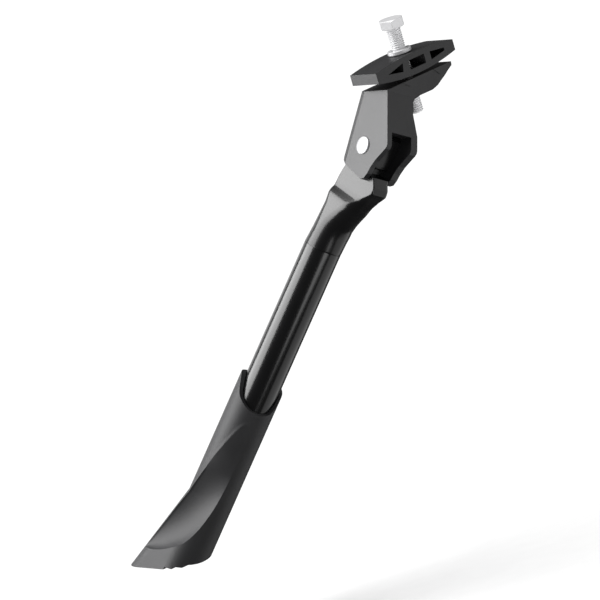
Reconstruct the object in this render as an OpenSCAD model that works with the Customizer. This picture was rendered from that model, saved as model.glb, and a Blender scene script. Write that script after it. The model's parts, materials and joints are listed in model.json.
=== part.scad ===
// Bicycle side stand: a bracket clamped to the chainstays by one bolt,
// a leg that swings on a riveted pin, and a foot that slides on the leg's tube.
// Origin: where the clamp bolt's axis meets the bracket's clamp face.
// +Z runs up the bolt, +X inwards across the bike, +Y towards its front.

/* [Clamp plate] */
// Length of the clamp plate across the bike
plate_len = 72.8; // [66:0.2:78]
// Width of the clamp plate along the bike
plate_w = 26.4; // [24:0.2:27]
// Thickness of the plate at its two ends
plate_end_t = 7.4; // [6:0.2:9]
// Rise of the arched top above the ends
plate_crown = 3.1; // [2:0.1:4]
// Drop of the arched underside below the ends
plate_keel = 4.1; // [3:0.1:5]
// Gap between the bracket's face and the plate's lowest point
plate_gap = 1.8; // [1.6:0.1:3]
// Wall left at the front of the plate's three pockets
pocket_wall = 3; // [2:0.5:6]

/* [Clamp bolt] */
// Thread diameter of the bolt
bolt_d = 10; // [10:1:10]
// Length of the bolt under its head
bolt_len = 60; // [60:1:62]
// Width of the hexagon head across its flats
bolt_flats = 16; // [15:0.5:17]
// Height of the head
bolt_head_h = 6.4; // [5:0.2:7]
// Height of the head's underside above the clamp face
bolt_seat_z = 34.4; // [33:0.2:36]

/* [Bracket] */
// Width of the bracket's top along the bike
bracket_w = 27.6; // [27.6:0.2:28.4]
// Tilt of the clevis and its pin from the bolt
splay = 30; // [30:1:30]
// Thickness across the two cheeks
clevis_w = 27; // [27:0.5:28]
// Radius of the cavity that the leg's cam turns in
cavity_r = 15.1; // [15:0.1:15.2]
// Diameter of the pivot pin
pin_d = 8; // [7.6:0.1:8]
// Diameter of the pin's flat heads
pin_head_d = 12; // [11:0.2:13]

/* [Leg] */
// Forward lean of the leg when it stands
lean = 26.4; // [26:0.1:27]
// Radius of the cam on the leg's head
cam_r = 14.5; // [14.2:0.1:14.5]
// Outer diameter of the tube
tube_d = 26; // [25.6:0.1:26]
// Wall of the tube
tube_wall = 1.5; // [1.2:0.1:2]
// Offset of the tube forward of the pin
tube_shift = 10.85; // [10:0.05:11]
// Where the tube begins, measured from the pin
seam_u = 78.3; // [76:0.1:80]
// Where the tube ends
tube_end_u = 236; // [232:1:236]

/* [Foot] */
// Wall of the foot's sleeve
foot_wall = 2.9; // [2.6:0.1:3.2]
// Where the mouth's rim is highest
mouth_u = 177; // [175:0.5:178]
// Where the leg's axis meets the sole
sole_u = 312; // [311:0.5:314]
// Radius of the toe
toe_r = 13; // [12:0.5:13]
// Rise of the sole towards the front of the bike
sole_tilt = 7.75; // [6:0.25:9]

/* [Hidden] */
fine = 96;
soft = 32;
big = 200;

// The pin's centre, half way between the outer faces of the cheeks
pivot = [-37.77, 4.42, -38.82];
// The slot between the cheeks, measured along the pin from its centre
slot_x0 = -9.4;
slot_x1 = 8;
// Height of the slot's roof above the pin, where it opens behind
slot_roof = 8.6;
// The bevel along the front edge of each cheek: its width and its depth
facet_w = 4.2;
facet_d = 1.2;
side_gap = 0.3;
// The stop lug and the shoulder's rear stop short of the inner cheek
lug_x1 = 5;
// Running clearance of the pin, the bolt and the plunger, on the radius
fit = 0.05;
// Height of the clevis's own frame from the pin to above the clamp face
clevis_top = 60;

plate_z0 = plate_gap + plate_keel;
plate_z1 = plate_z0 + plate_end_t;
plate_top = plate_z1 + plate_crown;
washer_h = 3.1;
washer_d = 16.4;

plunger_d = 8;
plunger_tip_r = 3;
plunger_len = 8;
// The plunger rests just clear of the cam, and drops into its notches
plunger_lift = 0.15;
plunger_z = cam_r + plunger_lift;
spring_bore_z = 37;
spring_wire = 1.1;
spring_turns = 6;

foot_r = tube_d / 2 + foot_wall;
cavity_fit = 0.08;
cavity_end_u = 242;
screw_u = 200;
// Turn of the lock screw about the tube, towards the bike's front
screw_turn = 50;
screw_d = 5;
boss_x = 20;

// The local frame of the cheeks: x along the pin inwards, z up the cheeks
module at_pivot() {
    translate(pivot) rotate([0, splay, 0]) children();
}

// The local frame of the leg: z up the leg, y forward, x along the pin
module at_leg() {
    at_pivot() rotate([lean, 0, 0]) children();
}

// The same on the tube's own axis
module at_tube() {
    at_leg() translate([0, tube_shift, 0]) children();
}

// A solid along the pin, from an outline drawn as [forward, up]
module along_pin(x0, x1) {
    translate([x0, 0, 0]) rotate([90, 0, 90]) linear_extrude(x1 - x0) children();
}

// A solid along the bike, from an outline drawn as [across, up]
module along_bike(w) {
    translate([0, w / 2, 0]) rotate([90, 0, 0]) linear_extrude(w) children();
}

// A round bar down the leg between two distances from the pin
module down_leg(u0, u1, r, res = fine) {
    translate([0, 0, -u1]) cylinder(r = r, h = u1 - u0, $fn = res);
}

// Radius of the arc that has this chord and rise
function arc_r(chord, rise) = (chord * chord / 4 + rise * rise) / (2 * rise);

// A hexagon of this width across its flats
module hexagon(flats) {
    circle(r = flats / sqrt(3), $fn = 6);
}

// The arched outline of the clamp plate
module plate_outline() {
    top_r = arc_r(plate_len, plate_crown);
    low_r = arc_r(plate_len, plate_keel);
    intersection() {
        translate([-plate_len / 2, 0]) square([plate_len, big]);
        translate([0, plate_top - top_r]) circle(r = top_r, $fn = 10 * fine);
        translate([0, plate_gap + low_r]) circle(r = low_r, $fn = 10 * fine);
    }
}

// The three pockets that open in the plate's rear face
module plate_pockets() {
    polygon([[-26, 9], [-12.4, 6.6], [-11.2, 12.3]]);
    polygon([[-5.8, 6], [8.8, 6], [8.8, 12.4], [-5.8, 12.4]]);
    polygon([[14.2, 6.4], [27.2, 8.6], [27.2, 10.6], [14.2, 12.2]]);
}

module clamp_plate() {
    pocket_d = plate_w - pocket_wall;
    color([0.1, 0.1, 0.11])
    difference() {
        along_bike(plate_w) plate_outline();
        translate([0, -pocket_wall, 0]) along_bike(plate_w) plate_pockets();
        cylinder(d = bolt_d + 1, h = big, $fn = fine);
    }
}

module spring_washer() {
    split = 1.2;
    color([0.75, 0.75, 0.77])
    translate([0, 0, plate_top])
    difference() {
        cylinder(d = washer_d, h = washer_h, $fn = fine);
        translate([0, 0, -1]) cylinder(d = bolt_d + 0.6, h = washer_h + 2, $fn = fine);
        translate([0, -split / 2, -1]) cube([washer_d, split, washer_h + 2]);
    }
}

module clamp_bolt() {
    end_chamfer = 1;
    color([0.78, 0.78, 0.8]) {
        translate([0, 0, bolt_seat_z]) rotate(-11) linear_extrude(bolt_head_h) hexagon(bolt_flats);
        translate([0, 0, bolt_seat_z - bolt_len + end_chamfer])
            cylinder(d = bolt_d, h = bolt_len - end_chamfer, $fn = fine);
        translate([0, 0, bolt_seat_z - bolt_len])
            cylinder(d1 = bolt_d - 2 * end_chamfer, d2 = bolt_d, h = end_chamfer, $fn = fine);
    }
}

// The arm that carries the clamp face, seen along the bike
module arm_outline() {
    polygon([[-40, 0], [29.5, 0], [29, -2.5], [24.8, -4.7], [21, -7], [16.5, -9.2],
             [12.8, -11.2], [7.4, -12.6], [-5, -12.6], [-9.8, -13.4], [-12.1, -15],
             [-14, -21], [-40, -21]]);
}

// The cheeks seen along the pin
module cheek_outline() {
    polygon([[-18.2, clevis_top], [-18.2, 37], [-24.7, 0.6], [-24.5, -1.5], [-23.3, -3.2],
             [-20, -5.8], [-14, -10.8], [-10, -15.4], [-7.4, -19.4], [-4.5, -22.4],
             [-1, -22.9], [15.6, -12.4], [19.2, -9], [19.5, -7], [9.4, 37],
             [9.4, clevis_top]]);
}

// The clevis seen along the bike: narrower at its neck than at the pin
module clevis_outline() {
    polygon([[-clevis_w / 2, -30], [clevis_w / 2, -30], [clevis_w / 2, 10], [9.6, 25],
             [9.6, clevis_top], [-clevis_w / 2, clevis_top]]);
}

// The slot between the cheeks: open behind and below, walled in front
module slot_outline() {
    intersection() {
        union() {
            circle(r = cavity_r, $fn = fine);
            translate([-big, -big]) square([big, big + slot_roof]);
            translate([0, -big]) square([big, big]);
        }
        polygon([[-big, -big], [17.6, -big], [17.6, -13], [16.6, -7], [13.2, 8], [9.6, 24],
                 [-big, 24]]);
    }
}

// Cuts the shallow bevel along the front edge of the outer cheek
module front_facet() {
    at_pivot() translate([-clevis_w / 2, 19.5, -7]) rotate([atan(10.1 / 44), 0, 0])
        translate([0, -facet_w, -big / 2]) rotate(-atan(facet_d / facet_w))
            translate([-big, 0, 0]) cube([big, big, big]);
}

// Two shallow wedges in the bracket's rear face, below the clamp face
module rear_wedges() {
    wedge_d = 0.4;
    translate([0, -bracket_w / 2, 0]) along_bike(2 * wedge_d) {
        polygon([[-22, 0.5], [-10.3, -4.5], [-17, 0.5]]);
        polygon([[8.5, 0.5], [17.8, -5.5], [12.5, 0.5]]);
    }
}

module bracket() {
    color([0.12, 0.12, 0.13])
    difference() {
        union() {
            intersection() {
                along_bike(bracket_w) arm_outline();
                at_pivot() along_pin(-clevis_w / 2, big) translate([-big, -big]) square(2 * big);
            }
            at_pivot() intersection() {
                along_pin(-clevis_w / 2, clevis_w / 2) cheek_outline();
                along_bike(big) clevis_outline();
            }
        }
        translate([-big, -big, 0]) cube(2 * big);
        front_facet();
        rear_wedges();
        at_pivot() along_pin(slot_x0, slot_x1) slot_outline();
        at_pivot() translate([0, 0, cavity_r - 2])
            cylinder(r = plunger_d / 2 + fit, h = spring_bore_z - cavity_r + 2, $fn = fine);
        at_pivot() translate([-big / 2, 0, 0]) rotate([0, 90, 0])
            cylinder(d = pin_d, h = big, $fn = fine);
        translate([0, 0, -big / 2]) cylinder(r = bolt_d / 2 + fit, h = big, $fn = fine);
    }
}

module pivot_pin() {
    head_h = 1.4;
    color([0.8, 0.8, 0.82])
    at_pivot() rotate([0, 90, 0]) {
        translate([0, 0, -clevis_w / 2]) cylinder(d = pin_d, h = clevis_w, $fn = fine);
        for (z = [-clevis_w / 2 - head_h, clevis_w / 2])
            translate([0, 0, z]) cylinder(d = pin_head_d, h = head_h, $fn = fine);
    }
}

// A bar with a rounded tip that rides on the cam
module detent_plunger() {
    shank_z = plunger_z + plunger_tip_r;
    color([0.7, 0.7, 0.72])
    at_pivot() {
        translate([0, 0, shank_z]) {
            sphere(r = plunger_tip_r, $fn = fine);
            cylinder(r = plunger_tip_r, h = 1, $fn = fine);
        }
        translate([0, 0, shank_z + 1])
            cylinder(d = plunger_d, h = plunger_len - plunger_tip_r - 1, $fn = fine);
    }
}

// Points of a ring of wire at turn t of a helix
function wire_ring(t, r, h, wire, sides) = [
    for (i = [0:sides - 1])
        let (a = 360 * i / sides, d = r + wire / 2 * cos(a))
            [d * cos(360 * t), d * sin(360 * t), h * t + wire / 2 * sin(a)]
];

// A coil spring as one swept solid
module coil(r, turns, pitch, wire, sides = 8, steps = 20) {
    rings = turns * steps;
    points = [for (k = [0:rings]) each wire_ring(k / steps, r, pitch, wire, sides)];
    walls = [
        for (k = [0:rings - 1], i = [0:sides - 1])
            let (j = (i + 1) % sides)
                [k * sides + i, k * sides + j, (k + 1) * sides + j, (k + 1) * sides + i]
    ];
    first = [[for (i = [sides - 1:-1:0]) i]];
    last = [[for (i = [0:sides - 1]) rings * sides + i]];
    polyhedron(points, concat(walls, first, last));
}

module detent_spring() {
    z0 = plunger_z + plunger_len + spring_wire / 2 + 0.1;
    z1 = spring_bore_z - spring_wire / 2 - 0.1;
    color([0.65, 0.65, 0.67])
    at_pivot() translate([0, 0, z0])
        coil(plunger_d / 2 - spring_wire / 2 - 0.3, spring_turns, (z1 - z0) / spring_turns,
             spring_wire);
}

// The leg's upper end seen along the pin: cam, rear flat, groove and stop lug
module head_outline() {
    notch_r = 3.3;
    notch_depth = 1.5;
    notch_at = cam_r + notch_r - notch_depth;
    difference() {
        union() {
            intersection() {
                circle(r = cam_r, $fn = fine);
                translate([-10, -11]) square([20, 30]);
            }
            polygon([[-10, 0], [-9, -10.8], [-7, -11.6], [-7, -14.6], [-8, -15.2], [-18, -15.4],
                     [-22, -18], [-24, -22], [-19, -33], [15.6, -33], [13.4, -17], [9, -18.3],
                     [9.4, 0]]);
        }
        rotate(-lean) translate([0, notch_at]) circle(r = notch_r, $fn = soft);
    }
}

// A slice across the leg with round corners, at a distance from the pin
module leg_slice(u, x0, x1, y0, y1, r) {
    translate([0, 0, -u])
    hull()
        for (x = [x0 + r, x1 - r], y = [y0 + r, y1 - r])
            translate([x, y, 0]) cylinder(r = r, h = 0.1, $fn = soft);
}

// The part below the cheeks, which blends from the slot's width to the round tube
module knuckle_shell() {
    r = tube_d / 2;
    hull() {
        leg_slice(31, slot_x0 + side_gap, lug_x1 - 0.2, -20, 15.8, 2);
        leg_slice(41, -r, 8, -15.6, 17, 7);
    }
    hull() {
        leg_slice(41, -r, 8, -15.6, 17, 7);
        leg_slice(52, -r, 10.8, -8.4, 18.8, 10);
    }
    hull() {
        leg_slice(52, -r, 10.8, -8.4, 18.8, 10);
        translate([0, tube_shift, -66]) cylinder(r = r, h = 0.1, $fn = soft);
    }
}

module leg_knuckle() {
    color([0.1, 0.1, 0.11])
    at_leg() difference() {
        union() {
            difference() {
                along_pin(slot_x0 + side_gap, slot_x1 - side_gap) head_outline();
                translate([lug_x1, -40, -34]) cube([10, 31.5, 21]);
            }
            knuckle_shell();
            translate([0, tube_shift, 0]) {
                down_leg(65.9, seam_u, tube_d / 2);
                down_leg(seam_u - 1, seam_u + 30, tube_d / 2 - tube_wall);
            }
        }
        translate([-big / 2, 0, 0]) rotate([0, 90, 0])
            cylinder(r = pin_d / 2 + fit, h = big, $fn = fine);
    }
}

module leg_tube() {
    color([0.1, 0.1, 0.11])
    at_tube() difference() {
        down_leg(seam_u, tube_end_u, tube_d / 2);
        down_leg(seam_u - 1, tube_end_u + 1, tube_d / 2 - tube_wall);
    }
}

// The half space under the sole
module below_sole() {
    at_tube() translate([0, 0, -sole_u]) rotate([-lean, 0, 0]) rotate([0, -splay, 0])
        rotate([sole_tilt, 0, 0]) translate([-big / 2, -big / 2, -big]) cube([big, big, big]);
}

// The mouth's rear is scooped lower than its front, in a U
module mouth_scoop() {
    scoop_r = 15.6;
    scoop_turn = 233;
    rotate(scoop_turn) translate([0, 0, -mouth_u - 4.8]) {
        rotate([0, 90, 0]) cylinder(r = scoop_r, h = big, $fn = fine);
        translate([0, -scoop_r, 0]) cube([big, 2 * scoop_r, big / 4]);
    }
}

// The spoon-shaped hollow in the foot's outer side
module dish() {
    dish_r = 14;
    hull()
        for (p = [[-20.3, -19.6, 238], [-21.7, -8.5, 264], [-23, 0.5, 288], [-27.6, 9.5, 307]])
            translate([p[0], p[1], -p[2]]) sphere(r = dish_r, $fn = soft);
}

module foot_shoe() {
    toe_x = -6;
    toe_y = 21;
    color([0.13, 0.13, 0.13])
    difference() {
        at_tube() difference() {
            union() {
                down_leg(mouth_u, 272, foot_r);
                hull() {
                    down_leg(262, 345, foot_r, 64);
                    translate([toe_x, toe_y, 0]) down_leg(330, 345, toe_r, 64);
                }
                rotate(screw_turn) hull() {
                    translate([foot_r - 4, 0, 0]) down_leg(screw_u - 9, screw_u + 9, 6, soft);
                    translate([boss_x - 6, 0, 0]) down_leg(screw_u - 8, screw_u + 8, 6, soft);
                }
            }
            down_leg(mouth_u - 5, cavity_end_u, tube_d / 2 + cavity_fit);
            mouth_scoop();
            dish();
            at_screw(0) cylinder(r = screw_d / 2 + fit, h = big, $fn = fine);
            at_screw(foot_r + 0.2) nut_pocket();
        }
        below_sole();
    }
}

// A place on the lock screw's axis, with z pointing out of the tube
module at_screw(x) {
    rotate(screw_turn) translate([x, 0, -screw_u]) rotate([0, 90, 0]) children();
}

// The pocket that holds the square nut, open towards the sole
module nut_pocket() {
    translate([-4.1, -4.1, -1.7]) cube([14, 8.2, 2.8]);
}

module lock_nut() {
    color([0.7, 0.7, 0.72])
    at_tube() at_screw(foot_r + 0.2)
        difference() {
            translate([-4, -4, -1.6]) cube([8, 8, 2.6]);
            translate([0, 0, -3]) cylinder(r = screw_d / 2 + fit, h = 6, $fn = fine);
        }
}

module lock_screw() {
    tip_x = tube_d / 2 + 0.1;
    head_x = boss_x + 0.3;
    head_h = 5;
    color([0.2, 0.2, 0.21])
    at_tube() at_screw(0)
        difference() {
            union() {
                translate([0, 0, tip_x]) cylinder(d = screw_d, h = head_x - tip_x, $fn = fine);
                translate([0, 0, head_x]) cylinder(d = 8.5, h = head_h, $fn = fine);
            }
            translate([0, 0, head_x + head_h - 2.5]) linear_extrude(3) hexagon(4);
        }
}

bracket();
pivot_pin();
detent_plunger();
detent_spring();
clamp_plate();
spring_washer();
clamp_bolt();
leg_knuckle();
leg_tube();
foot_shoe();
lock_nut();
lock_screw();
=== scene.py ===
"""Bicycle kickstand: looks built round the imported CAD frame. Metres; local lengths in mm."""

import math

import bmesh
import bpy
import numpy as np
from mathutils import Matrix, Vector
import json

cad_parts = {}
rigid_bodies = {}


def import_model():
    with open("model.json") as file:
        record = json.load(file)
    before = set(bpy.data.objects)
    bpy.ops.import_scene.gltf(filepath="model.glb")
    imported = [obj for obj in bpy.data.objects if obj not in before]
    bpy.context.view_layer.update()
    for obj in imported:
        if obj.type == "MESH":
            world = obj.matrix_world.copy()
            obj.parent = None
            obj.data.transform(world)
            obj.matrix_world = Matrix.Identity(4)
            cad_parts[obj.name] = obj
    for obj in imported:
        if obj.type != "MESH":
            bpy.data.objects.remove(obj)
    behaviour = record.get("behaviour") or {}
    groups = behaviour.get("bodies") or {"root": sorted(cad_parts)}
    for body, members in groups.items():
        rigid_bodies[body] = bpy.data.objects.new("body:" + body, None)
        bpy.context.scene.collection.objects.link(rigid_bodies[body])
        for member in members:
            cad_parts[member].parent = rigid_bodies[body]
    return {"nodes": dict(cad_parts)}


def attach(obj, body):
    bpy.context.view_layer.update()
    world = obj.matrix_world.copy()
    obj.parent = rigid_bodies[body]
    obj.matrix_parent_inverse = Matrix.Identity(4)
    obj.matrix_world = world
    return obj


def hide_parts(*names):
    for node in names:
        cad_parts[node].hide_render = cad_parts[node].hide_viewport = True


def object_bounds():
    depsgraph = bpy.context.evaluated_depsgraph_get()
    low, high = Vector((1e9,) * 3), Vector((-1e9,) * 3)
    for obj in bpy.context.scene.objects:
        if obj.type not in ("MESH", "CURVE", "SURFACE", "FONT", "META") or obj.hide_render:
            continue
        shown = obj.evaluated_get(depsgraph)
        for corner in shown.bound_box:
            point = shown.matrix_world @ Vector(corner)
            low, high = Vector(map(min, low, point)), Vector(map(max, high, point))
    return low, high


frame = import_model()
start_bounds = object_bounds()

MM = 0.001
TAU = 2 * math.pi
# edges sharper than this many degrees are rounded and shaded as edges
BEVEL_FROM = 30.0

# ---------------------------------------------------------------- local frames
PIVOT = (-37.77, 4.42, -38.82)
SPLAY = 30.0
LEAN = 26.4
TUBE_SHIFT = 10.85
TUBE_R = 13.0
SOLE_U = 312.0
SOLE_TILT = 7.75

TO_PIVOT = Matrix.Translation(PIVOT) @ Matrix.Rotation(math.radians(SPLAY), 4, "Y")
TO_LEG = TO_PIVOT @ Matrix.Rotation(math.radians(LEAN), 4, "X")
TO_TUBE = TO_LEG @ Matrix.Translation((0, TUBE_SHIFT, 0))


# ---------------------------------------------------------------- mesh helpers
def shade(obj, sharp):
    """Smooth shading that breaks at edges over this many degrees."""
    obj.data.shade_smooth()
    obj.data.set_sharp_from_angle(angle=math.radians(sharp))


def piece(name, points, faces, place, body, stands_for=(), sharp=35.0, slot=None):
    """A mesh from local points in mm, placed in the row frame, riding on a body."""
    mesh = bpy.data.meshes.new(name)
    moved = [tuple((place @ Vector(p)) * MM) for p in points]
    mesh.from_pydata(moved, [], faces)
    mesh.validate()
    bm = bmesh.new()
    bm.from_mesh(mesh)
    bmesh.ops.remove_doubles(bm, verts=bm.verts, dist=1e-7)
    bmesh.ops.recalc_face_normals(bm, faces=bm.faces)
    bm.to_mesh(mesh)
    bm.free()
    obj = bpy.data.objects.new(name, mesh)
    bpy.context.scene.collection.objects.link(obj)
    shade(obj, sharp)
    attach(obj, body)
    if stands_for:
        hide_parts(*stands_for)
    return obj


def loft(rings):
    """Points and faces of a skin over rings of equal length, with flat ends."""
    columns = len(rings[0])
    last = (len(rings) - 1) * columns
    points = [tuple(p) for ring in rings for p in ring]
    faces = []
    for i in range(len(rings) - 1):
        for j in range(columns):
            k = (j + 1) % columns
            faces.append((i * columns + j, i * columns + k, (i + 1) * columns + k, (i + 1) * columns + j))
    faces.append(tuple(range(columns - 1, -1, -1)))
    faces.append(tuple(range(last, last + columns)))
    return points, faces


def circle(r, z, columns):
    """A ring of points about local z."""
    return [(r * math.cos(TAU * j / columns), r * math.sin(TAU * j / columns), z) for j in range(columns)]


def turned(profile, columns=96):
    """A solid turned about local z from a profile of (radius, z)."""
    return loft([circle(r, z, columns) for r, z in profile])


def bevel(obj, width, segments=2):
    """Rounds the piece's sharp edges by width mm."""
    mod = obj.modifiers.new("edge_round", "BEVEL")
    mod.width = width * MM
    mod.segments = segments
    mod.limit_method = "ANGLE"
    mod.angle_limit = math.radians(BEVEL_FROM)
    mod.harden_normals = False
    mod.use_clamp_overlap = True


def smooth(t):
    """An even step from 0 to 1 as t goes from 0 to 1."""
    t = max(0.0, min(1.0, t))
    return t * t * (3 - 2 * t)


def curve_value(table, x):
    """Value at x of a short table of (x, value), on a smooth curve that doesn't overshoot."""
    xs = [p[0] for p in table]
    ys = [p[1] for p in table]
    if x <= xs[0]:
        return float(ys[0])
    if x >= xs[-1]:
        return float(ys[-1])
    slopes = [(ys[k + 1] - ys[k]) / (xs[k + 1] - xs[k]) for k in range(len(xs) - 1)]
    tangents = [slopes[0]]
    for a, b in zip(slopes, slopes[1:]):
        tangents.append(0.0 if a * b <= 0 else 2 * a * b / (a + b))
    tangents.append(slopes[-1])
    k = max(i for i in range(len(xs) - 1) if xs[i] <= x)
    h = xs[k + 1] - xs[k]
    t = (x - xs[k]) / h
    return float((2 * t**3 - 3 * t**2 + 1) * ys[k] + (t**3 - 2 * t**2 + t) * h * tangents[k]
                 + (3 * t**2 - 2 * t**3) * ys[k + 1] + (t**3 - t**2) * h * tangents[k + 1])


# ---------------------------------------------------------------- materials
MOTTLE_SCALE = 60.0
GLOSS_SPREAD = 0.05
RELIEF_STRENGTH = 0.6


def material(name, colour, roughness, grain, grain_scale, mottle, metallic=0.0, specular=0.5):
    """Principled surface: mottle varies its tone, and the grain, in mm, its gloss and relief."""
    mat = bpy.data.materials.new(name)
    mat.use_nodes = True
    tree = mat.node_tree
    nodes, links = tree.nodes, tree.links
    shader = nodes["Principled BSDF"]
    shader.inputs["Metallic"].default_value = metallic
    shader.inputs["Specular IOR Level"].default_value = specular
    coords = nodes.new("ShaderNodeTexCoord")
    broad = nodes.new("ShaderNodeTexNoise")
    broad.inputs["Scale"].default_value = MOTTLE_SCALE
    broad.inputs["Detail"].default_value = 6.0
    links.new(coords.outputs["Object"], broad.inputs["Vector"])
    tone = nodes.new("ShaderNodeValToRGB")
    low = [c * (1 - mottle) for c in colour]
    high = [min(1.0, c * (1 + mottle)) for c in colour]
    tone.color_ramp.elements[0].position = 0.3
    tone.color_ramp.elements[0].color = (*low, 1)
    tone.color_ramp.elements[1].position = 0.7
    tone.color_ramp.elements[1].color = (*high, 1)
    links.new(broad.outputs["Fac"], tone.inputs["Fac"])
    links.new(tone.outputs["Color"], shader.inputs["Base Color"])
    fine = nodes.new("ShaderNodeTexNoise")
    fine.inputs["Scale"].default_value = grain_scale
    fine.inputs["Detail"].default_value = 3.0
    links.new(coords.outputs["Object"], fine.inputs["Vector"])
    gloss = nodes.new("ShaderNodeMapRange")
    gloss.inputs["To Min"].default_value = roughness - GLOSS_SPREAD
    gloss.inputs["To Max"].default_value = roughness + GLOSS_SPREAD
    links.new(fine.outputs["Fac"], gloss.inputs["Value"])
    links.new(gloss.outputs["Result"], shader.inputs["Roughness"])
    relief = nodes.new("ShaderNodeBump")
    relief.inputs["Strength"].default_value = RELIEF_STRENGTH
    relief.inputs["Distance"].default_value = grain * MM
    links.new(fine.outputs["Fac"], relief.inputs["Height"])
    links.new(relief.outputs["Normal"], shader.inputs["Normal"])
    return mat


BLACK_ALLOY = material("black_alloy", (0.008, 0.008, 0.0085), 0.4, 0.02, 1400, 0.15, specular=0.16)
BLACK_PLATE = material("black_plate", (0.009, 0.009, 0.0095), 0.42, 0.03, 1400, 0.15, specular=0.16)
BLACK_TUBE = material("black_tube", (0.0018, 0.0018, 0.0019), 0.2, 0.006, 900, 0.1, specular=0.2)
BLACK_KNUCKLE = material("black_knuckle", (0.0018, 0.0018, 0.0019), 0.24, 0.008, 1100, 0.12, specular=0.17)
BLACK_NYLON = material("black_nylon", (0.007, 0.007, 0.0075), 0.55, 0.12, 1500, 0.15, specular=0.14)
BLACK_STEEL = material("black_steel", (0.03, 0.03, 0.032), 0.35, 0.01, 800, 0.1, metallic=0.6)
# one zinc steel in two tones: this lighter tone is painted light, lifted to make up for the shade in the bolt's
# thread and under its head
ZINC_PAINTED_LIGHTER = material("zinc_painted_lighter", (0.8, 0.8, 0.81), 0.42, 0.01, 500, 0.05, metallic=0.3)
# the darker zinc tone is painted shade: the same steel, dimmed on the bolt's head and the washer
ZINC_PAINTED_DARKER = material("zinc_painted_darker", (0.6, 0.6, 0.61), 0.4, 0.01, 500, 0.05, metallic=0.3)
PIN_STEEL = material("pin_steel", (0.5, 0.5, 0.51), 0.34, 0.008, 700, 0.03, metallic=0.4)
SPRING_STEEL = material("spring_steel", (0.42, 0.42, 0.44), 0.3, 0.01, 600, 0.1, metallic=1.0)
FLOOR = material("floor", (0.9, 0.9, 0.9), 0.8, 0.05, 40, 0.01)


def paint(obj, mat):
    """Gives the whole object one material."""
    obj.data.materials.clear()
    obj.data.materials.append(mat)


# ---------------------------------------------------------------- CAD nodes kept
# each node's material and how far its edges are rounded; the spring's wire has none
for name, mat, width in (
    ("clamp_plate", BLACK_PLATE, 0.8),
    ("bracket", BLACK_ALLOY, 0.8),
    ("leg_tube", BLACK_TUBE, 0.35),
    ("detent_plunger", SPRING_STEEL, 0.2),
    ("detent_spring", SPRING_STEEL, 0.0),
    # the lock nut takes the lighter zinc tone, which is painted light
    ("lock_nut", ZINC_PAINTED_LIGHTER, 0.2),
    ("lock_screw", BLACK_STEEL, 0.3),
):
    node = frame["nodes"][name]
    paint(node, mat)
    if width:
        bevel(node, width)
        shade(node, BEVEL_FROM)

# ---------------------------------------------------------------- pivot pin
CHEEKS = 27.0
PIN_R = 4.0
PIN_HEAD_R = 6.0
# the head's rim, and the dome that rises over it
PIN_RIM = 0.62
PIN_DOME = 0.75


def pin_profile():
    """The rivet from its near head to its far one, as (radius, along the pin)."""
    arc = np.linspace(0.02, math.pi / 2, 12)
    dome = [(PIN_HEAD_R * math.sin(a), PIN_DOME * math.cos(a) + PIN_RIM) for a in arc]
    half = CHEEKS / 2
    near = [(r, -half - z) for r, z in dome] + [(PIN_HEAD_R, -half), (PIN_R, -half)]
    far = [(PIN_R, half), (PIN_HEAD_R, half)] + [(r, half + z) for r, z in reversed(dome)]
    return near + far


TO_PIN = TO_PIVOT @ Matrix.Rotation(math.pi / 2, 4, "Y")
pin = piece("pin_rivet", *turned(pin_profile()), TO_PIN, "bracket", ["pivot_pin"], sharp=40, slot="pin_steel")
paint(pin, PIN_STEEL)

# ---------------------------------------------------------------- clamp bolt
BOLT_R = 5.0
BOLT_ROOT_R = 4.0
PITCH = 1.5
SEAT_Z = 34.4
BOLT_LEN = 60.0
HEAD_FLATS = 16.0
HEAD_H = 6.4
HEAD_CHAMFER = 30.0
# the flat below the head's corners
HEAD_FACE_R = 7.4
# how far the thread takes to reach its full height, and its radius where it starts
LEAD_IN = 1.2
LEAD_R = 3.7
# the hexagon's corners are at multiples of 60 degrees, turned by this
HEX_TURN = -11.0


def thread_radius(turn):
    """Radius of a metric thread at this part of its pitch."""
    t = abs((turn % 1.0) * 2 - 1)
    t = min(1.0, max(0.0, (t - 0.1) / 0.78))
    return BOLT_ROOT_R + (BOLT_R - BOLT_ROOT_R) * t


def bolt_shank():
    """The threaded shank, from its tip up to the head."""
    columns, step = 60, PITCH / 10
    z0 = SEAT_Z - BOLT_LEN
    rings = []
    for i in range(int(BOLT_LEN / step) + 1):
        z = z0 + i * step
        lead = min(1.0, (z - z0) / LEAD_IN)
        neck = min(1.0, (SEAT_Z - z) / LEAD_IN)
        ring = []
        for j in range(columns):
            a = TAU * j / columns
            r = min(thread_radius(z / PITCH - a / TAU), LEAD_R + (BOLT_R - LEAD_R) * lead)
            if neck < 1:
                r = BOLT_ROOT_R + (r - BOLT_ROOT_R) * smooth(neck * 1.5)
            ring.append((r * math.cos(a), r * math.sin(a), z))
        rings.append(ring)
    return loft(rings)


def bolt_head():
    """The hexagon head with its chamfered corners."""
    columns = 120
    chamfer_r = HEAD_FLATS / 2 * 0.97
    hexagon = []
    for j in range(columns):
        a = TAU * j / columns
        b = (a - math.radians(HEX_TURN)) % (TAU / 6) - TAU / 12
        hexagon.append((a, HEAD_FLATS / 2 / math.cos(b)))
    base, edge = [], []
    for a, r in hexagon:
        drop = max(0.0, r - chamfer_r) * math.tan(math.radians(HEAD_CHAMFER))
        base.append((r * math.cos(a), r * math.sin(a), SEAT_Z + 0.3 + drop * 0.5))
        edge.append((r * math.cos(a), r * math.sin(a), SEAT_Z + HEAD_H - 0.05 - drop))
    top = SEAT_Z + HEAD_H
    return loft([circle(HEAD_FACE_R, SEAT_Z, columns), base, edge,
                 circle(chamfer_r, top, columns), circle(chamfer_r * 0.93, top, columns)])


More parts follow.
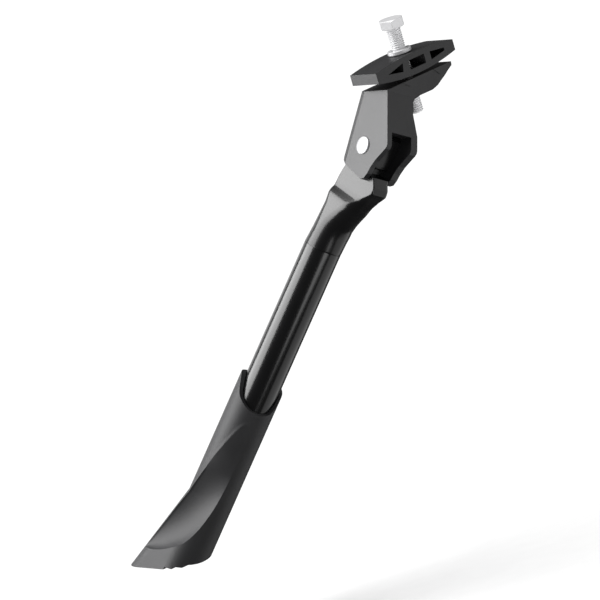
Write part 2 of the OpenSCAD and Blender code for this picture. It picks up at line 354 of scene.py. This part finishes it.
IN_PLACE = Matrix.Identity(4)
shank = piece("bolt_shank", *bolt_shank(), IN_PLACE, "bolt", ["clamp_bolt"], sharp=50, slot="zinc_steel")
# the shank's zinc is lightened against the shade in its thread and under the head: painted light
paint(shank, ZINC_PAINTED_LIGHTER)
head = piece("bolt_head", *bolt_head(), IN_PLACE, "bolt", ["clamp_bolt"], sharp=25, slot="zinc_steel")
# the head's zinc is darkened to hold down how bright the lamps make it: painted shade
paint(head, ZINC_PAINTED_DARKER)

# ---------------------------------------------------------------- spring washer
WASHER_Z = 16.4
# half the gap between the washer's ends, and how much the one end stands above the other
WASHER_GAP = 7.0
WASHER_RISE = 0.55
# the wire's section, as (radius, height)
WASHER_SECTION = [(5.3, 0.1), (5.3, 2.35), (5.55, 2.5), (7.95, 2.5), (8.2, 2.3), (8.2, 0.2), (8.0, 0.0),
                  (5.5, 0.0)]


def washer():
    """A split ring: its section swept round the bolt with a small rise."""
    steps = 96
    rings = []
    for i in range(steps + 1):
        a = math.radians(WASHER_GAP + (360 - 2 * WASHER_GAP) * i / steps)
        lift = WASHER_Z + WASHER_RISE * i / steps
        rings.append([(r * math.cos(a), r * math.sin(a), lift + z) for r, z in WASHER_SECTION])
    return loft(rings)


ring = piece("split_washer", *washer(), IN_PLACE, "plate", ["spring_washer"], sharp=30, slot="zinc_steel")
# the washer takes the darker zinc tone, which is painted shade
paint(ring, ZINC_PAINTED_DARKER)

# ---------------------------------------------------------------- leg knuckle
SLOT = (-9.1, 7.7)
LUG_TOP_U = 15.3
CAM_R = 14.5
NOTCH_R = 3.3
NOTCH_DEPTH = 1.5


def cam_arc():
    """The cam's arc with the notch that the plunger drops into when the leg stands."""
    a0, a1 = math.acos(9.4 / CAM_R), math.pi - math.acos(10 / CAM_R)
    lean = math.radians(LEAN)
    notch = (CAM_R + NOTCH_R - NOTCH_DEPTH) * np.array([math.sin(lean), math.cos(lean)])
    arc = []
    for a in np.linspace(a0, a1, 120):
        d = np.array([math.cos(a), math.sin(a)])
        near = notch @ d
        inside = NOTCH_R**2 - (notch @ notch - near**2)
        r = min(CAM_R, near - math.sqrt(inside)) if inside > 0 else CAM_R
        arc.append((r * d[0], r * d[1]))
    return arc


def head_outline():
    """The leg's upper end seen along the pin, as (forward, up the leg), without its lug."""
    return cam_arc() + [
        (-10, 8), (-10, 0), (-9.6, -8), (-9, -10.8), (-7.2, -11.8), (-7, -14.2), (-7.6, -16), (-7.6, -30),
        (10, -30), (14.6, -30), (13.4, -17), (9, -18.3), (9.2, -10)]


def extruded(outline, x0, x1):
    """A solid along local x from an outline of (y, z)."""
    near = [(x0, y, z) for y, z in outline]
    far = [(x1, y, z) for y, z in outline]
    return loft([near, far])


cam = piece("knuckle_head", *extruded(head_outline(), *SLOT), TO_LEG, "leg", ["leg_knuckle"], sharp=25,
            slot="black_tube")
paint(cam, BLACK_KNUCKLE)
bevel(cam, 0.5, segments=3)

SEAM_U = 78.3
# the shoulder's four sides and its corners' radii, each as (distance down the leg, value)
NEAR_SIDE = [(15, -9.12), (31, -9.15), (34.5, -9.5), (39, -12.1), (42, -12.9), (46, -13), (80, -13)]
FAR_SIDE = [(15, 5), (29, 5.1), (38, 6.8), (50, 10), (60, 12.3), (66, 13), (80, 13)]
REAR_EDGE = [(LUG_TOP_U, -18), (19, -21.2), (22, -23.2), (25, -23.6), (28, -21.8), (32, -18.4), (38, -14.4),
             (44, -12.2), (50, -8.8), (56, -5.5), (62, -3.4), (68, -2.5), (SEAM_U, TUBE_SHIFT - TUBE_R)]
FRONT_EDGE = [(LUG_TOP_U, 8.4), (17, 8.8), (17.8, 13.2), (20, 14.3), (32, 16.5), (38, 17.1), (46, 17.6),
              (55, 19.3), (64, 21.4), (SEAM_U, TUBE_SHIFT + TUBE_R)]
NEAR_REAR = [(15, 0.7), (21, 0.9), (27, 2.4), (33, 5.2), (40, 8.5), (46, 10.5), (52, 12), (58, 13), (80, 13)]
FAR_REAR = [(15, 1), (18.5, 3), (32, 3), (38, 5), (44, 8), (50, 10), (60, 12.2), (66, 13), (80, 13)]
NEAR_FRONT = [(15, 0.7), (26, 1), (32, 1.8), (37, 3.5), (46, 7), (55, 9.2), (64, 11.6), (72, 13), (80, 13)]
FAR_FRONT = [(15, 1), (26, 1.2), (32, 2.5), (41, 6), (50, 9.5), (60, 12.5), (68, 13), (80, 13)]


def rounded_slice(x0, x1, y0, y1, radii, per_corner=16):
    """A rectangle with its own radius at each corner: far front, near front, near rear, far rear."""
    most = min(x1 - x0, y1 - y0) / 2 - 0.01
    a, b, c, d = (min(r, most) for r in radii)
    ring = []
    for cx, cy, r, start in ((x1 - a, y1 - a, a, 0), (x0 + b, y1 - b, b, 90), (x0 + c, y0 + c, c, 180),
                             (x1 - d, y0 + d, d, 270)):
        for k in range(per_corner):
            t = math.radians(start + 90 * k / (per_corner - 1))
            ring.append((cx + r * math.cos(t), cy + r * math.sin(t)))
    return ring


def knuckle_body():
    """The shoulder from the stop lug's top down to the seam, where it is as round as the tube."""
    rings = []
    for u in np.concatenate([np.arange(LUG_TOP_U, 30.0, 0.4), np.arange(30.0, SEAM_U - 0.4, 0.75)]):
        x0, x1 = curve_value(NEAR_SIDE, u), curve_value(FAR_SIDE, u)
        y0, y1 = curve_value(REAR_EDGE, u), curve_value(FRONT_EDGE, u)
        radii = [curve_value(table, u) for table in (FAR_FRONT, NEAR_FRONT, NEAR_REAR, FAR_REAR)]
        ring = rounded_slice(x0, x1, y0, y1, radii)
        rings.append([(x, y, -u) for x, y in ring])
    for u, r in ((SEAM_U - 0.5, TUBE_R), (SEAM_U - 0.15, TUBE_R - 0.12), (SEAM_U, TUBE_R - 0.5)):
        ring = rounded_slice(-r, r, TUBE_SHIFT - r, TUBE_SHIFT + r, [r] * 4)
        rings.append([(x, y, -u) for x, y in ring])
    return loft(rings)


shoulder = piece("knuckle_shoulder", *knuckle_body(), TO_LEG, "leg", ["leg_knuckle"], sharp=40,
                 slot="black_tube")
paint(shoulder, BLACK_KNUCKLE)

# ---------------------------------------------------------------- foot
FOOT_CENTRE = np.array([-0.42, 0.36])
FOOT_R = 15.85
TOE = np.array([-6.0, 21.0])
TOE_R = 13.0
TOE_START_U = 265.0
TOE_END_U = 330.0
CAVITY_R = 13.2
CAVITY_END_U = 242.0
# rounding of the sole's edge, largest at the heel
EDGE_R = 0.02
HEEL_R = 0.9
HEEL_AT = 318.0
HEEL_SPREAD = 28.0
# the step just below the ridge
LIP = 0.3
LIP_RUN = 1.2
# the mouth's rim: angle about the tube and distance from the pin
RIM = [(0, 178.5), (40, 177.5), (145, 177), (155, 178), (165, 181), (175, 186), (185, 190.2), (205, 194.4),
       (228, 197.3), (250, 198), (270, 197.2), (285, 195.8), (297, 192.3), (310, 187), (330, 182), (360, 178.5)]
# the dish's two edges, as directions from a point inside the foot, at each distance from the pin
HUB = np.array([-2.0, 6.0])
DISH_START_U = 203.0
DISH_END_U = 315.0
RIDGE = [(DISH_START_U, 254), (210, 241), (220, 229.5), (235, 214), (245, 205), (253, 197), (262, 185.5),
         (285, 154), (300, 138.5), (310, 131), (DISH_END_U, 129)]
BROW = [(DISH_START_U, 254), (210, 259.5), (216, 261.5), (232, 262.6), (247, 262.2), (265, 258.6), (280, 251),
        (290, 242.5), (298, 231), (302, 220), (306, 202), (310, 178.5), (314, 146), (DISH_END_U, 129)]
# how far the dish is hollow, or swollen, between its edges
DISH = [(DISH_START_U, 0), (225, -0.5), (238, -0.6), (243, -0.3), (249, 0.4), (258, 1.1), (270, 2), (282, 2.6),
        (292, 2.7), (301, 2.3), (308, 1.45), (DISH_END_U, 0)]
# the raised bead along the ridge: height and half width
BEAD = 0.45
BEAD_W = 1.3
# the curtain that trims the mouth: its radius, and its top and bottom in the middle
CURTAIN_R = 24.0
CURTAIN_TOP = -160.0
CURTAIN_FLOOR = -185.0
POINT_R = 0.01
TOOTH_PITCH = 6.0
TOOTH_DEPTH = 1.7
TEETH = 5
TEETH_FROM = 1.5


def sole_height(p, u):
    """Height of a point of the tube's frame above the sole's plane."""
    g = Vector((0, -math.sin(math.radians(SOLE_TILT)), math.cos(math.radians(SOLE_TILT))))
    return (TO_TUBE @ Vector((p[0], p[1], -u)) - TO_TUBE @ Vector((0, 0, -SOLE_U))).dot(g)


def foot_outline(u):
    """The foot's convex outline at u, as a closed run of points round the hub."""
    t = min(1.25, max(0.0, (u - TOE_START_U) / (TOE_END_U - TOE_START_U)))
    centre = FOOT_CENTRE + (TOE - FOOT_CENTRE) * t
    radius = FOOT_R + (TOE_R - FOOT_R) * t
    angles = np.linspace(0, TAU, 721)[:-1]
    d = np.stack([np.cos(angles), np.sin(angles)], 1)
    back = d @ FOOT_CENTRE + FOOT_R
    front = d @ centre + radius
    outline = np.where((back >= front)[:, None], FOOT_CENTRE + FOOT_R * d, centre + radius * d)
    for k, p in enumerate(outline):
        heel = math.exp(-(((math.degrees(angles[k]) - HEEL_AT + 180) % 360 - 180) / HEEL_SPREAD) ** 2)
        r = EDGE_R + (HEEL_R - EDGE_R) * heel
        h = max(0.0, min(r, sole_height(p, u)))
        outline[k] = p - d[k] * (r - math.sqrt(max(0.0, r * r - (r - h) ** 2)))
    return outline


def towards(outline, directions):
    """Points of the outline in these directions from the hub, in radians."""
    rel = outline - HUB
    bearing = np.unwrap(np.arctan2(rel[:, 1], rel[:, 0]))
    bearing = np.concatenate([bearing, bearing[:1] + TAU])
    loop = np.concatenate([outline, outline[:1]])
    at = bearing[0] + np.mod(directions - bearing[0], TAU)
    return np.stack([np.interp(at, bearing, loop[:, 0]), np.interp(at, bearing, loop[:, 1])], 1)


def foot_ring(u, outer_count=150, dish_count=50):
    """The outline at u, from the brow round the back to the ridge, then across the dish."""
    v = min(DISH_END_U, max(DISH_START_U, u))
    ridge, brow = math.radians(curve_value(RIDGE, v)), math.radians(curve_value(BROW, v))
    outline = foot_outline(u)
    outer = towards(outline, np.linspace(brow, ridge + TAU, outer_count))
    gap = np.linalg.norm(outer[-1] - outer[-2])
    run = gap * np.arange(len(outer) - 1, -1, -1)
    away = (outer - HUB) / np.linalg.norm(outer - HUB, axis=1)[:, None]
    bead = BEAD * smooth((v - 203) / 6) * smooth((300 - v) / 25)
    outer = outer + away * (bead * np.exp(-(run / BEAD_W) ** 2))[:, None]
    a, b = outer[-1], outer[0]
    s = np.linspace(0, 1, dish_count + 2)[1:-1]
    width = np.linalg.norm(b - a)
    if width < 1e-6:
        return np.concatenate([outer, np.repeat(a[None], dish_count, 0)])
    inward = np.array([-(b - a)[1], (b - a)[0]]) / width
    if inward @ (HUB - a) < 0:
        inward = -inward
    depth = min(curve_value(DISH, v), 0.3 * width)
    lip = min(LIP * smooth((v - 243) / 6), 0.2 * width) * np.minimum(1.0, s * width / LIP_RUN) * (1 - s) ** 2
    bow = 4 * depth * s * (1 - s)
    return np.concatenate([outer, a + (b - a) * s[:, None] + inward * (bow + lip)[:, None]])


def foot_surface():
    """The foot's rings from above the mouth to below the sole, close together where the dish ends."""
    levels = np.concatenate([np.arange(176.0, 203.0, 1.5), np.arange(203.0, 300.0, 0.7),
                             np.arange(300.0, 316.0, 0.25), np.arange(316.0, 346.0, 0.6)])
    return [[(x, y, -u) for x, y in foot_ring(u)] for u in levels]


foot = piece("foot_body", *loft(foot_surface()), TO_TUBE, "foot", ["foot_shoe"], sharp=28, slot="black_nylon")


def cutter(name, points, faces, place):
    """A hidden solid that is cut out of another, and then deleted."""
    mesh = bpy.data.meshes.new(name)
    mesh.from_pydata([tuple((place @ Vector(p)) * MM) for p in points], [], faces)
    bm = bmesh.new()
    bm.from_mesh(mesh)
    bmesh.ops.recalc_face_normals(bm, faces=bm.faces)
    bm.to_mesh(mesh)
    bm.free()
    obj = bpy.data.objects.new(name, mesh)
    bpy.context.scene.collection.objects.link(obj)
    return obj


def cut(target, tools):
    """Cuts the tools out of the target's mesh for good."""
    for tool in tools:
        mod = target.modifiers.new(tool.name, "BOOLEAN")
        mod.operation = "DIFFERENCE"
        mod.solver = "EXACT"
        mod.object = tool
    graph = bpy.context.evaluated_depsgraph_get()
    mesh = bpy.data.meshes.new_from_object(target.evaluated_get(graph), depsgraph=graph)
    target.modifiers.clear()
    old = target.data
    target.data = mesh
    bpy.data.meshes.remove(old)
    for tool in tools:
        bpy.data.objects.remove(tool, do_unlink=True)


def mouth_cutter():
    """The cavity for the tube, a little wider at its mouth."""
    profile = [(CAVITY_R + 0.5, -170), (CAVITY_R + 0.3, -176), (CAVITY_R, -200), (CAVITY_R, -CAVITY_END_U)]
    return turned(profile, 128)


def rim_cutter():
    """Everything above the mouth's rim: a curtain whose lower edge follows it, a little higher inside."""
    columns = 160
    rings = [circle(POINT_R, CURTAIN_TOP, columns), circle(CURTAIN_R, CURTAIN_TOP, columns)]
    for r, lift in ((CURTAIN_R, 0.0), (16.0, 0.0), (TUBE_R, 0.8), (8.0, 0.0)):
        levels = [curve_value(RIM, 360 * j / columns) - lift for j in range(columns)]
        rings.append([(x, y, -u) for (x, y, _), u in zip(circle(r, 0, columns), levels)])
    rings.append(circle(POINT_R, CURTAIN_FLOOR, columns))
    return loft(rings)


def sole_cutter():
    """Everything under the sole, with saw teeth that run from its outer corner back to the heel."""
    far = 60.0
    profile = [(far, 0.0), (TEETH_FROM, 0.0)]
    for k in range(TEETH):
        y = TEETH_FROM - k * TOOTH_PITCH
        profile += [(y - 0.7, TOOTH_DEPTH), (y - TOOTH_PITCH, 0.05)]
    return extruded(profile + [(-far, 0.05), (-far, -far), (far, -far)], -far, far)


TO_SOLE = (Matrix.Translation(TO_TUBE @ Vector((0, 0, -SOLE_U)))
           @ Matrix.Rotation(math.radians(SOLE_TILT), 4, "X"))
cut(foot, [
    cutter("sole_cut", *sole_cutter(), TO_SOLE),
    cutter("rim_cut", *rim_cutter(), TO_TUBE),
    cutter("cavity_cut", *mouth_cutter(), TO_TUBE),
])
shade(foot, 28)
paint(foot, BLACK_NYLON)

# the boss that the lock screw and its nut sit in, on the foot's far side
SCREW_U = 200.0
SCREW_TURN = 50.0
SCREW_HOLE_R = 2.55
BOSS_R = 6.0
BOSS_X = 14.0
TO_SCREW = TO_TUBE @ Matrix.Rotation(math.radians(SCREW_TURN), 4, "Z")


def boss_surface():
    """A rounded tongue that stands out of the foot's wall."""
    rings = []
    for offset, inset in ((-8, 1.0), (-7.7, 0.3), (-7, 0.0), (7, 0.0), (7.7, 0.3), (8, 1.0)):
        r = BOSS_R - inset
        rings.append([(BOSS_X + r * math.cos(a), r * math.sin(a), -(SCREW_U + offset))
                      for a in np.linspace(-math.pi / 2, math.pi / 2, 49)])
    return loft(rings)


def screw_hole():
    """The clear hole that the lock screw runs in."""
    return loft([[(x, SCREW_HOLE_R * math.cos(a), SCREW_HOLE_R * math.sin(a) - SCREW_U)
                  for a in np.linspace(0, TAU, 64, endpoint=False)] for x in (BOSS_X - 3, BOSS_X + BOSS_R + 3)])


boss = piece("foot_boss", *boss_surface(), TO_SCREW, "foot", sharp=40, slot="black_nylon")
cut(boss, [cutter("screw_cut", *screw_hole(), TO_SCREW)])
shade(boss, 40)
paint(boss, BLACK_NYLON)

# ---------------------------------------------------------------- stage, camera, light
# the picture's own axes: the view is from 40 degrees to the side and 10 above, with the camera rolled
VIEW_RIGHT = Vector((0.7047, -0.6560, -0.2696))
VIEW_UP = Vector((0.3195, -0.0460, 0.9461))
TO_VIEWER = VIEW_RIGHT.cross(VIEW_UP).normalized()
VIEW_RIGHT.normalize()
VIEW_UP = TO_VIEWER.cross(VIEW_RIGHT)
FRAME_WIDTH = 0.402
CAMERA_DISTANCE = 2.0
FRAME_CENTRE = VIEW_RIGHT * (-0.07136) - VIEW_UP * 0.14995

# the floor lies below the foot's lowest place
FLOOR_DROP = 0.06
FLOOR_HALF = 9.0
floor_mesh = bpy.data.meshes.new("floor")
low = start_bounds[0][2] - FLOOR_DROP
corners = [(-1, -1), (1, -1), (1, 1), (-1, 1)]
floor_mesh.from_pydata([(x * FLOOR_HALF, y * FLOOR_HALF, low) for x, y in corners], [], [(0, 1, 2, 3)])
floor = bpy.data.objects.new("floor", floor_mesh)
bpy.context.scene.collection.objects.link(floor)
paint(floor, FLOOR)
# the floor stays out of the gloss on the black parts, as if they stood on a dark card
floor.visible_glossy = False
floor.visible_shadow = False

camera_data = bpy.data.cameras.new("camera")
camera = bpy.data.objects.new("camera", camera_data)
bpy.context.scene.collection.objects.link(camera)
bpy.context.scene.camera = camera
camera_data.type = "ORTHO"
camera_data.ortho_scale = FRAME_WIDTH
camera_data.clip_end = 50
turn = Matrix((
    (VIEW_RIGHT.x, VIEW_UP.x, TO_VIEWER.x, 0),
    (VIEW_RIGHT.y, VIEW_UP.y, TO_VIEWER.y, 0),
    (VIEW_RIGHT.z, VIEW_UP.z, TO_VIEWER.z, 0),
    (0, 0, 0, 1),
))
camera.matrix_world = Matrix.Translation(FRAME_CENTRE + TO_VIEWER * CAMERA_DISTANCE) @ turn


# the softboxes light the object alone, so that the floor stays even; bright parts get a weaker one
DARK_PARTS = bpy.data.collections.new("dark_parts")
BRIGHT_PARTS = bpy.data.collections.new("bright_parts")
for obj in bpy.context.scene.objects:
    if obj.type == "MESH" and obj is not floor:
        (BRIGHT_PARTS if obj in (shank, head, ring, pin) else DARK_PARTS).objects.link(obj)


def area_light(name, parts, towards, distance, width, height, power):
    """A softbox that looks at the object from a direction in the camera's own axes."""
    data = bpy.data.lights.new(name, "AREA")
    data.shape = "RECTANGLE"
    data.size = width
    data.size_y = height
    data.energy = power
    lamp = bpy.data.objects.new(name, data)
    bpy.context.scene.collection.objects.link(lamp)
    where = (VIEW_RIGHT * towards[0] + VIEW_UP * towards[1] + TO_VIEWER * towards[2]).normalized()
    lamp.location = FRAME_CENTRE + where * distance
    lamp.rotation_euler = where.to_track_quat("Z", "Y").to_euler()
    lamp.light_linking.receiver_collection = parts


area_light("softbox_left", DARK_PARTS, (-1.0, 0.2, 0.06), 1.0, 1.0, 1.2, 72)
area_light("softbox_back", DARK_PARTS, (-0.5, 0.1, -0.87), 1.0, 0.6, 1.2, 3.5)
area_light("softbox_right", DARK_PARTS, (1.0, -0.15, -0.1), 1.0, 1.5, 1.7, 16)
area_light("softbox_front", DARK_PARTS, (0.43, -0.22, 0.88), 0.5, 0.26, 0.4, 2.2)
area_light("bright_left", BRIGHT_PARTS, (-1.0, 0.2, 0.06), 1.0, 1.0, 1.2, 15)
area_light("bright_right", BRIGHT_PARTS, (1.0, 0.1, 0.3), 1.0, 1.5, 1.5, 8)
sun_data = bpy.data.lights.new("overhead", "SUN")
sun_data.energy = 3.7
sun_data.angle = math.radians(50)
sun = bpy.data.objects.new("overhead", sun_data)
bpy.context.scene.collection.objects.link(sun)
from_above = Vector((0, 0, 1)) - VIEW_RIGHT * 0.25 + TO_VIEWER * 0.1
sun.rotation_euler = from_above.to_track_quat("Z", "Y").to_euler()

world = bpy.data.worlds.new("studio")
bpy.context.scene.world = world
world.use_nodes = True
world.node_tree.nodes["Background"].inputs["Color"].default_value = (1, 1, 1, 1)
world.node_tree.nodes["Background"].inputs["Strength"].default_value = 0.12
bpy.context.scene.view_settings.view_transform = "Standard"
